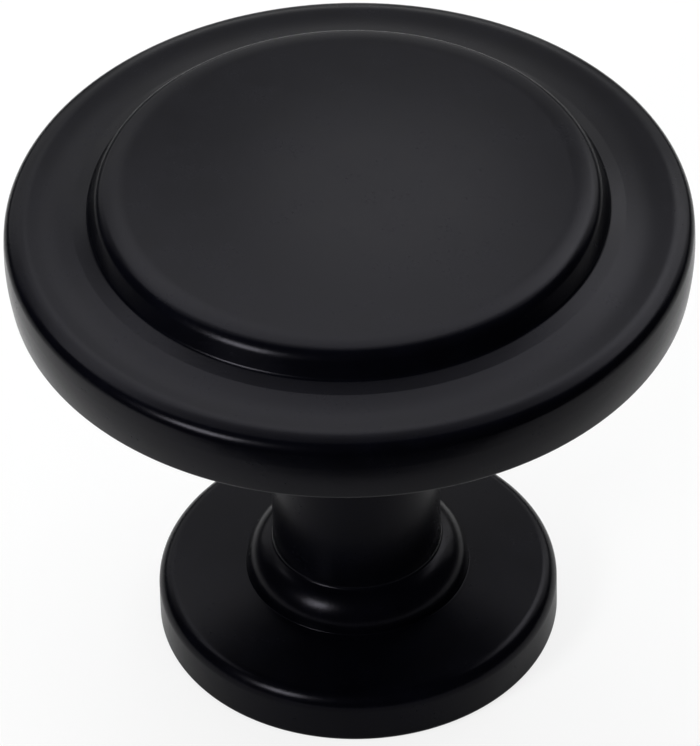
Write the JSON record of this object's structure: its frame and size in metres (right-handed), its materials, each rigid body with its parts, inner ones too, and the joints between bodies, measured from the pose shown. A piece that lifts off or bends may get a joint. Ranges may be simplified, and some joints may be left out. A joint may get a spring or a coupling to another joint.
{
  "type": "cabinet knob",
  "caption": "Round black cabinet and drawer knob, cast as one piece: disc head with raised centre and flat ring, slim neck with collar, round foot with a blind tapped hole.",
  "frame": {"origin": "centre of the seating face of the foot, on the knob's axis", "axes": "+Z along the knob's axis, from the foot through the neck to the head; the knob is the same all round"},
  "size_m": [0.032, 0.032, 0.0266],
  "materials": {
    "black_paint": "satin"
  },
  "bodies": {
    "root": {"knob": "black_paint"}
  },
  "joints": []
}
